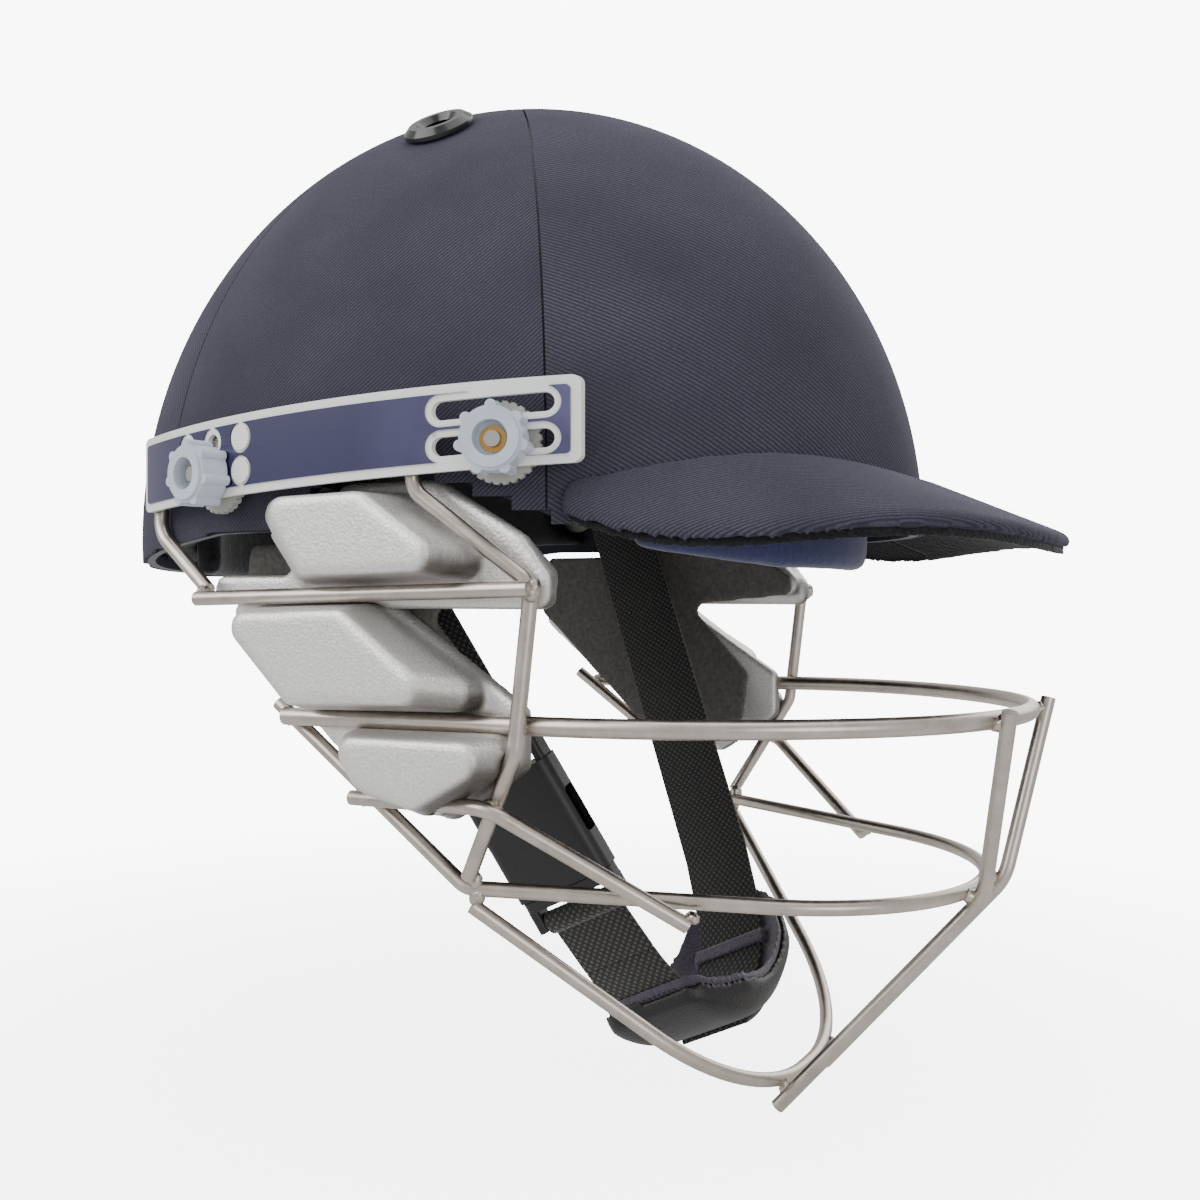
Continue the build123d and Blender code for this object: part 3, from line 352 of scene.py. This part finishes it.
for name, low_turn, high_turn, lean in PANELS:
    panel = dome_cloth.copy()
    panel.data = dome_cloth.data.copy()
    panel.name = name + "_cloth"
    bpy.context.scene.collection.objects.link(panel)
    start_edit(panel)
    for turn, keep in ((low_turn, 1), (high_turn, -1)):
        across = (-sin(radians(turn)) * keep, cos(radians(turn)) * keep, 0)
        bpy.ops.mesh.select_all(action="SELECT")
        edge = Vector(across) * SEAM_GAP
        bpy.ops.mesh.bisect(plane_co=edge, plane_no=across, clear_inner=True)
    stop_edit()
    weave_map(panel, (low_turn + high_turn) / 2, lean)
    apply_modifier(panel, "SOLIDIFY", thickness=CLOTH, offset=-1)
    apply_modifier(
        panel, "BEVEL", width=0.0007, segments=3, limit_method="ANGLE", angle_limit=radians(55)
    )
    for side_name, side in SIDES:
        if name == f"cover_{side_name}":
            spot, facing = vent_direction(side)
            bpy.ops.mesh.primitive_cylinder_add(
                vertices=48, radius=VENT_HOLE, depth=0.02, location=spot,
                rotation=facing.to_track_quat("Z", "Y").to_euler(),
            )
            punch = bpy.context.object
            apply_modifier(panel, "BOOLEAN", operation="DIFFERENCE", object=punch, solver="EXACT")
            bpy.data.objects.remove(punch)
    only(panel)
    bpy.ops.object.shade_smooth_by_angle(angle=radians(40))
    give(panel, dome_twill, "helmet", "navy_twill", name)
bpy.data.objects.remove(dome_cloth)

# %% [markdown]
# Foam and padding have no sharp edges. Each pad starts as a copy of its plain solid, gets an
# even skin by voxel remeshing, is relaxed until its edges are round, and is then blown up a
# little along its normals, as stuffing does. This takes the place of a cloth simulation,
# which gains little on pads as thin and firm as these.


# %% Soft copies of plain solids
SAME_SPOT = 0.000002


def plain_copy(node, name):
    """A free copy of a plain solid, with its doubled vertices welded and no finish."""
    piece = nodes[node].copy()
    piece.data = nodes[node].data.copy()
    piece.name = name
    piece.parent = None
    piece.data.materials.clear()
    bpy.context.scene.collection.objects.link(piece)
    for key in list(piece.keys()):
        del piece[key]
    start_edit(piece)
    bpy.ops.mesh.select_all(action="SELECT")
    bpy.ops.mesh.remove_doubles(threshold=SAME_SPOT)
    stop_edit()
    return piece


def soft_copy(node, name, voxel, rounds, swell):
    """An even, rounded skin over a plain solid."""
    piece = plain_copy(node, name)
    apply_modifier(piece, "REMESH", mode="VOXEL", voxel_size=voxel)
    apply_modifier(piece, "SMOOTH", factor=0.5, iterations=rounds)
    start_edit(piece)
    bpy.ops.mesh.select_all(action="SELECT")
    bpy.ops.transform.shrink_fatten(value=swell)
    stop_edit()
    only(piece)
    bpy.ops.object.shade_smooth()
    return piece


# %% [markdown]
# The peak is a stiff board wrapped in cloth: twill on top and round the rim, and plain black
# cloth below, whose edge shows as a thin dark line. Each is a skin grown over its own solid,
# and the board itself is drawn in a little, so that it never pokes out between the two.
# The photographed peak is flat in its middle and curls down only near its sides, while the
# plain board is one even arc. So both skins are eased from the arc to that flatter curve.

# %% Black cloth and the peak
def make_black_cloth(name, hex_dark, hex_light, scale):
    material, tree, shader, place = new_finish(
        name, hex_dark, 0.9, Sheen_Weight=0.25, Sheen_Roughness=0.5, Specular_IOR_Level=0.2
    )
    threads = add_node(tree, "ShaderNodeTexVoronoi", {"Vector": place, "Scale": scale})
    two_tone(tree, shader, threads.outputs["Distance"], hex_dark, hex_light)
    raise_surface(tree, shader, threads.outputs["Distance"], 0.0002)
    return material


black_cloth = make_black_cloth("plain_black_cloth", "#0b0b0d", "#26262a", 900.0)

BOARD_ARC = 0.139
BOARD_HALF_WIDTH = 0.089


def flatten_arch(piece):
    """Moves a skin from the board's arc to a curve with a flatter middle."""
    edge_drop = BOARD_ARC - sqrt(BOARD_ARC**2 - BOARD_HALF_WIDTH**2)
    for vertex in piece.data.vertices:
        board_drop = BOARD_ARC - sqrt(BOARD_ARC**2 - vertex.co.x**2)
        worn_drop = edge_drop * (vertex.co.x / BOARD_HALF_WIDTH) ** 4
        vertex.co.z += board_drop - worn_drop


SIDE_WALL = 0.75
FACES_DOWN = -0.6
UNDERSIDE_LIFT = (0, 0, 0.0010)


def pull_sides_in(piece, amount):
    """Draws the side walls of a flat skin inwards, so that they stay under the rim."""
    start_edit(piece, "VERT")
    pick_vertices(piece, lambda vertex: abs(vertex.normal.z) < SIDE_WALL)
    bpy.ops.transform.shrink_fatten(value=-amount)
    stop_edit()
    apply_modifier(piece, "SMOOTH", factor=0.5, iterations=8)


shell_plastic, tree, shader, place = new_finish("moulded_navy_shell", "#15182c", 0.45)
flow = add_node(tree, "ShaderNodeTexNoise", {"Vector": place, "Scale": 300.0})
raise_surface(tree, shader, flow.outputs["Fac"], 0.00005, 0.5)

peak = soft_copy("peak_board", "peak_cloth", 0.0008, 16, 0.0012)
start_edit(peak, "VERT")
pick_vertices(peak, lambda vertex: vertex.normal.z < FACES_DOWN)
bpy.ops.transform.translate(value=UNDERSIDE_LIFT)
stop_edit()
apply_modifier(peak, "SMOOTH", factor=0.5, iterations=10)
flatten_arch(peak)
give(peak, peak_twill, "helmet", "navy_twill", "peak_top_cover")
underside = soft_copy("peak_underside", "peak_lining", 0.0006, 8, 0.0004)
pull_sides_in(underside, 0.0012)
flatten_arch(underside)
give(underside, black_cloth, "helmet", "black_lining", "peak_underside")
core = soft_copy("peak_board", "peak_core", 0.0012, 2, -0.0003)
pull_sides_in(core, 0.0022)
flatten_arch(core)
give(core, shell_plastic, "helmet", "peak_board", "peak_board")

# %% [markdown]
# Inside, the liner is moulded foam bead, and the comfort pads are foam wrapped in an open
# knitted mesh. The brow pad is the one that shows from outside: a smooth blue-navy roll that
# hangs a little below the peak and rises towards its ends.

# %% Liner and comfort pads
black_mesh = make_black_cloth("knitted_spacer_mesh_black", "#08080a", "#303036", 420.0)

brow_cloth, tree, shader, place = new_finish(
    "brushed_lycra_navy", "#2c3058", 0.7, Sheen_Weight=0.3, Specular_IOR_Level=0.3
)
grain = add_node(tree, "ShaderNodeTexNoise", {"Vector": place, "Scale": 900.0, "Detail": 3.0})
two_tone(tree, shader, grain.outputs["Fac"], "#1f2347", "#3d4370")
raise_surface(tree, shader, grain.outputs["Fac"], 0.0001)

liner_foam, tree, shader, place = new_finish("moulded_bead_foam_black", "#151517", 0.85)
beads = add_node(tree, "ShaderNodeTexVoronoi", {"Vector": place, "Scale": 260.0})
two_tone(tree, shader, beads.outputs["Distance"], "#1c1c1f", "#0c0c0e")
raise_surface(tree, shader, beads.outputs["Distance"], 0.0003, 0.7)

# Below the sag height the brow pad hangs a little lower; outside each of the end distances
# from the middle, its low edge rises again by one lift.
BROW_SAG_HEIGHT = 0.006
BROW_SAG = (0, -0.0006, -0.0012)
BROW_ENDS = (0.034, 0.042, 0.048, 0.053, 0.058)
BROW_END_HEIGHT = 0.003
BROW_LIFT = (0, 0, 0.0010)

liner = soft_copy("impact_liner", "foam_liner", 0.0026, 2, 0.0)
give(liner, liner_foam, "helmet", "liner_foam", "impact_liner")

for node, name in (
    ("left_temple_pad", "left_temple_padding"),
    ("right_temple_pad", "right_temple_padding"),
    ("nape_pad", "nape_padding"),
    ("crown_pad", "crown_padding"),
):
    pad = soft_copy(node, name, 0.0016, 8, 0.0004)
    give(pad, black_mesh, "helmet", "black_mesh", node)
brow = soft_copy("brow_pad", "brow_padding", 0.0014, 12, 0.0008)
start_edit(brow, "VERT")
pick_vertices(brow, lambda vertex: vertex.co.z < BROW_SAG_HEIGHT)
bpy.ops.transform.translate(value=BROW_SAG)
stop_edit()
for reach in BROW_ENDS:
    start_edit(brow, "VERT")
    pick_vertices(brow, lambda vertex: abs(vertex.co.x) > reach and vertex.co.z < BROW_END_HEIGHT)
    bpy.ops.transform.translate(value=BROW_LIFT)
    stop_edit()
apply_modifier(brow, "SMOOTH", factor=0.5, iterations=30)
give(brow, brow_cloth, "helmet", "navy_mesh", "brow_pad")

# %% [markdown]
# The ear guards are foam under a thin silver skin, pressed in a mould. The skin has a fine
# pebbled grain, like coarse silver paper: partly metallic, but broken up so finely that it
# never shows a clear reflection. Slopes that face forward and down are painted darker: a
# painted shade that follows the direction each face points, not the lamps.

# %% Silver skinned foam
silver_skin, tree, shader, place = new_finish(
    "embossed_silver_foam_skin", "#d8d4ce", 0.42, Metallic=0.7
)
grit = add_node(
    tree, "ShaderNodeTexNoise",
    {"Vector": place, "Scale": 1400.0, "Detail": 3.0, "Roughness": 0.6},
)
pebbles = add_node(tree, "ShaderNodeTexVoronoi", {"Vector": place, "Scale": 1100.0})
mixed = add_node(
    tree, "ShaderNodeMath", {0: grit.outputs["Fac"], 1: pebbles.outputs["Distance"]}, operation="ADD"
)
raise_surface(tree, shader, mixed.outputs[0], 0.00013, 0.6)
# Painted shade: faces that point forward and down get a dark taupe mixed into their colour.
facing = add_node(tree, "ShaderNodeTexCoord").outputs["Normal"]
forward = add_node(tree, "ShaderNodeVectorMath", {0: facing}, operation="DOT_PRODUCT")
forward.inputs[1].default_value = (0.0, -0.8, -0.6)
slope = add_node(
    tree, "ShaderNodeMapRange",
    {
        "Value": forward.outputs["Value"], "From Min": 0.3, "From Max": 0.9,
        "To Min": 0.0, "To Max": 0.9,
    },
)
foil = add_node(tree, "ShaderNodeMix", {0: grit.outputs["Fac"]}, data_type="RGBA")
foil.inputs["A"].default_value = colour("#c8c4be")
foil.inputs["B"].default_value = colour("#ffffff")
painted_front_shade = add_node(tree, "ShaderNodeMix", {0: slope.outputs["Result"]}, data_type="RGBA")
tree.links.new(foil.outputs["Result"], painted_front_shade.inputs["A"])
painted_front_shade.inputs["B"].default_value = colour("#4d463f")
tree.links.new(painted_front_shade.outputs["Result"], shader.inputs["Base Color"])

grey_foam, tree, shader, place = new_finish("closed_cell_foam_grey", "#232325", 0.8)
cells = add_node(tree, "ShaderNodeTexNoise", {"Vector": place, "Scale": 700.0, "Detail": 2.0})
two_tone(tree, shader, cells.outputs["Fac"], "#3a3835", "#6f6b67")
raise_surface(tree, shader, cells.outputs["Fac"], 0.0002)

for side_name, side in SIDES:
    for level in ("upper", "lower"):
        node = f"{side_name}_{level}_ear_pad"
        pad = soft_copy(node, node + "_skin", 0.0011, 5, 0.0004)
        give(pad, silver_skin, "helmet", "silver_foam", node)
    node = f"{side_name}_ear_lining"
    pad = soft_copy(node, node + "_foam", 0.0011, 3, 0.0001)
    give(pad, grey_foam, "helmet", "grey_foam", node)

# %% [markdown]
# Webbing is a flat woven band, 24 mm wide, with threads that cross in rows and columns. It
# can't be remeshed, because that would eat its thin edges, so each stretch is a copy of its
# plain solid with its edges rounded by a bevel.


# %% Webbing
webbing, tree, shader, place = new_finish(
    "woven_nylon_webbing_black", "#111113", 0.75, Sheen_Weight=0.3, Specular_IOR_Level=0.35
)
STRAP_LEAN = radians(26.0)
along = add_node(tree, "ShaderNodeMapping", {"Vector": place, "Rotation": (-STRAP_LEAN, 0, 0)})
rows = add_node(
    tree, "ShaderNodeTexWave",
    {"Vector": along.outputs[0], "Scale": 220.0, "Distortion": 0.4}, bands_direction="Z",
)
ends = add_node(
    tree, "ShaderNodeTexWave",
    {"Vector": along.outputs[0], "Scale": 200.0, "Distortion": 0.4}, bands_direction="Y",
)
weave = add_node(
    tree, "ShaderNodeMath", {0: rows.outputs["Fac"], 1: ends.outputs["Fac"]}, operation="MULTIPLY"
)
two_tone(tree, shader, weave.outputs[0], "#100f0e", "#4f4b48")
raise_surface(tree, shader, weave.outputs[0], 0.00025)


def edged_copy(node, name, width):
    """Copy of a plain solid with its edges rounded."""
    piece = plain_copy(node, name)
    start_edit(piece)
    bpy.ops.mesh.select_all(action="SELECT")
    bpy.ops.mesh.tris_convert_to_quads()
    stop_edit()
    apply_modifier(piece, "BEVEL", width=width, segments=3, limit_method="ANGLE", angle_limit=radians(50))
    only(piece)
    bpy.ops.object.shade_smooth_by_angle(angle=radians(40))
    return piece


STRETCHES = (
    ("chin_webbing", "chin_strap"), ("right_webbing", "chin_strap"), ("chin_cup_band", "sliding_cup"),
)
for node, body in STRETCHES:
    strap = edged_copy(node, node + "_band", 0.0004)
    give(strap, webbing, body, "black_webbing", node)

tail = edged_copy("clip_webbing", "clip_webbing_band", 0.0004)
start_edit(tail, "EDGE")
bpy.ops.mesh.select_all(action="SELECT")
bpy.ops.mesh.subdivide(number_cuts=3)
stop_edit()
tail.data.materials.append(webbing)
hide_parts("clip_webbing")
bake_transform(tail)

# %% [markdown]
# The chin cup is moulded foam with a soft black leather-like face, and brushed fleece where
# it meets the chin.

# %% Chin cup
cup_leather, tree, shader, place = new_finish("soft_black_leather", "#121214", 0.42)
creases = add_node(
    tree, "ShaderNodeTexVoronoi", {"Vector": place, "Scale": 620.0}, feature="DISTANCE_TO_EDGE"
)
patches = add_node(tree, "ShaderNodeTexNoise", {"Vector": place, "Scale": 90.0, "Detail": 4.0})
two_tone(tree, shader, patches.outputs["Fac"], "#0b0b0b", "#1c1b1b")
raise_surface(tree, shader, creases.outputs["Distance"], 0.0003, 0.6)

fleece, tree, shader, place = new_finish("brushed_fleece_plum", "#3a3142", 0.95, Sheen_Weight=0.6)
fluff = add_node(
    tree, "ShaderNodeTexNoise",
    {"Vector": place, "Scale": 800.0, "Detail": 5.0, "Roughness": 0.7},
)
two_tone(tree, shader, fluff.outputs["Fac"], "#221c28", "#5b5064")
raise_surface(tree, shader, fluff.outputs["Fac"], 0.0006)

cup = soft_copy("chin_cup", "chin_cup_shell", 0.0008, 7, 0.0003)
give(cup, cup_leather, "sliding_cup", "cup_leather", "chin_cup")
fluffy = soft_copy("chin_cup_lining", "chin_cup_fleece", 0.0007, 5, -0.0001)
give(fluffy, fleece, "sliding_cup", "cup_fleece", "chin_cup_lining")

# %% [markdown]
# The grille is steel wire, welded where wires cross and then nickel plated all over. Satin
# nickel is a warm grey metal with a fairly tight highlight. The plating dulls a little in
# places, which a slow noise on the roughness gives.

# %% Nickel plated wire
nickel, tree, shader, place = new_finish("satin_nickel_plated_wire", "#b7aca2", 0.3, Metallic=1.0)
dull = add_node(
    tree, "ShaderNodeTexNoise",
    {"Vector": place, "Scale": 130.0, "Detail": 5.0, "Roughness": 0.65},
)
drawn = add_node(
    tree, "ShaderNodeMapRange", {"Value": dull.outputs["Fac"], "To Min": 0.2, "To Max": 0.46}
)
tree.links.new(drawn.outputs["Result"], shader.inputs["Roughness"])
two_tone(tree, shader, dull.outputs["Fac"], "#a1978e", "#ddd5cb")
raise_surface(tree, shader, dull.outputs["Fac"], 0.00012, 0.4)

# %% [markdown]
# Weld beads: each crossing holds a small, uneven blob of metal that bridges the two wires. A
# ball is squashed, roughened with random vertex moves that a seed keeps the same each run,
# and copied to each place with its own turn and size.

# %% Weld beads
CROSSINGS = (
    (93.2, -62.3, -50.6), (25.1, -164.2, -50.6), (88.1, 17.5, -52.0), (86.1, -43.7, -92.2),
    (88.6, -8.4, -72.1), (94.3, -54.2, -71.1), (70.3, -98.3, -98.6), (13.1, -154.3, -98.7),
    (85.2, -43.4, -96.8), (19.1, -103.4, -157.2), (97.2, -68.0, -16.6), (98.6, 41.2, -17.2),
    (102.4, -34.2, 13.5), (91.5, 66.0, 12.0),
)
beads = []
for index, (x, y, z) in enumerate(CROSSINGS):
    for side_name, side in SIDES:
        size = 0.0021 + 0.0003 * sin(index * 2.1 + side)
        bpy.ops.mesh.primitive_uv_sphere_add(
            segments=20, ring_count=12, radius=size, location=(side * x / 1000, y / 1000, z / 1000)
        )
        bead = bpy.context.object
        bead.scale = (1.35, 0.8, 0.95)
        bead.rotation_euler = (index * 0.9, index * 0.5, index * 1.7)
        bpy.ops.object.transform_apply(location=True, rotation=True, scale=True)
        start_edit(bead)
        bpy.ops.mesh.select_all(action="SELECT")
        bpy.ops.transform.vertex_random(offset=0.00022, uniform=0.4, normal=0.5, seed=index)
        stop_edit()
        beads.append(bead)
bpy.ops.object.select_all(action="DESELECT")
for bead in beads:
    bead.select_set(True)
bpy.context.view_layer.objects.active = beads[0]
bpy.ops.object.join()
welds = bpy.context.object
welds.name = "grille_welds"
bpy.ops.object.shade_smooth()
give(welds, nickel, "helmet", "grille_steel")

# %% [markdown]
# The parts that stay as modelled only need a finish: the side plates are white painted
# moulding with a printed blue film, the thumb nuts are pale translucent plastic with a brass
# bush, and the buckle is matt black acetal.

# %% Finishes for the hard parts
white_paint, tree, shader, place = new_finish("white_enamelled_plate", "#eceae6", 0.35, Coat_Weight=0.2)
scuffs = add_node(
    tree, "ShaderNodeTexNoise",
    {"Vector": place, "Scale": 160.0, "Detail": 6.0, "Roughness": 0.7},
)
marks = add_node(
    tree, "ShaderNodeMapRange", {"Value": scuffs.outputs["Fac"], "From Min": 0.62, "From Max": 0.75}
)
two_tone(tree, shader, marks.outputs["Result"], "#f2f1ee", "#b9b2a8")
raise_surface(tree, shader, marks.outputs["Result"], 0.00006, 0.5)

blue_film, tree, shader, place = new_finish(
    "printed_blue_film", "#2f2c75", 0.32, Coat_Weight=0.5, Coat_Roughness=0.12
)
# Painted reflection: the film is painted lighter towards the front, broken up by a noise for the ink.
spread = add_node(tree, "ShaderNodeSeparateXYZ", {"Vector": place})
fade = add_node(
    tree, "ShaderNodeMapRange", {"Value": spread.outputs["Y"], "From Min": -0.02, "From Max": -0.13}
)
ink = add_node(tree, "ShaderNodeTexNoise", {"Vector": place, "Scale": 60.0, "Detail": 3.0})
painted_reflection_and_ink = add_node(
    tree, "ShaderNodeMath", {0: fade.outputs["Result"], 1: ink.outputs["Fac"]}, operation="MULTIPLY"
)
two_tone(tree, shader, painted_reflection_and_ink.outputs[0], "#151048", "#9c97c6")

pale_plastic, tree, shader, place = new_finish(
    "moulded_pale_polycarbonate", "#c4cedb", 0.3, Subsurface_Weight=0.15, Subsurface_Scale=0.003
)
cloud = add_node(tree, "ShaderNodeTexNoise", {"Vector": place, "Scale": 90.0, "Detail": 2.0})
two_tone(tree, shader, cloud.outputs["Fac"], "#b5c0cf", "#d3dbe5")
raise_surface(tree, shader, cloud.outputs["Fac"], 0.0001, 0.4)

frosted, tree, shader, place = new_finish("frosted_clear_washer", "#c9c8c2", 0.4, Transmission_Weight=0.35)
frost = add_node(tree, "ShaderNodeTexNoise", {"Vector": place, "Scale": 500.0})
raise_surface(tree, shader, frost.outputs["Fac"], 0.0001, 0.5)

black_moulding, tree, shader, place = new_finish("moulded_black_acetal", "#161617", 0.42)
grain = add_node(tree, "ShaderNodeTexNoise", {"Vector": place, "Scale": 900.0, "Detail": 2.0})
two_tone(tree, shader, grain.outputs["Fac"], "#0f0f10", "#1f1f21")
raise_surface(tree, shader, grain.outputs["Fac"], 0.00006, 0.5)

gloss_black, tree, shader, place = new_finish("polished_black_grommet", "#060607", 0.22, Coat_Weight=0.25)
ripple = add_node(tree, "ShaderNodeTexNoise", {"Vector": place, "Scale": 80.0})
raise_surface(tree, shader, ripple.outputs["Fac"], 0.0001, 0.3)

brass, tree, shader, place = new_finish("turned_brass", "#c39a5c", 0.3, Metallic=1.0)
turned = add_node(tree, "ShaderNodeTexNoise", {"Vector": place, "Scale": 1200.0})
raise_surface(tree, shader, turned.outputs["Fac"], 0.00004, 0.5)

zinc, tree, shader, place = new_finish("zinc_plated_steel", "#c2bfba", 0.3, Metallic=1.0)
spangle = add_node(tree, "ShaderNodeTexNoise", {"Vector": place, "Scale": 700.0})
raise_surface(tree, shader, spangle.outputs["Fac"], 0.00005, 0.5)

FINISHES = {
    "white_plastic": white_paint, "blue_label": blue_film, "pale_knob": pale_plastic,
    "clear_plastic": frosted, "black_plastic": black_moulding, "navy_plastic": gloss_black,
    "brass": brass, "steel": zinc, "grille_steel": nickel, "shell_plastic": shell_plastic,
    "peak_board": shell_plastic,
}
for part in frame["record"]["subparts"]:
    node = nodes[part["node"]]
    finish = FINISHES.get(part["material_slot"])
    if finish and node.visible_get():
        for holder in node.material_slots:
            holder.material = finish
print("finishes set")

# %% [markdown]
# The floor's finish fades with distance from the helmet, so that no edge shows.

# %% Floor finish
floor_paint, tree, shader, place = new_finish("pale_floor", "#f4f4f3", 0.9)
shader.inputs["Specular IOR Level"].default_value = 0.1
away = add_node(tree, "ShaderNodeVectorMath", {0: place}, operation="LENGTH")
fade = add_node(
    tree, "ShaderNodeMapRange",
    {"Value": away.outputs["Value"], "From Min": 0.12, "From Max": 0.55, "To Min": 0.45, "To Max": 0.0},
    interpolation_type="SMOOTHSTEP",
)
tree.links.new(fade.outputs["Result"], shader.inputs["Alpha"])
floor.data.materials.append(floor_paint)
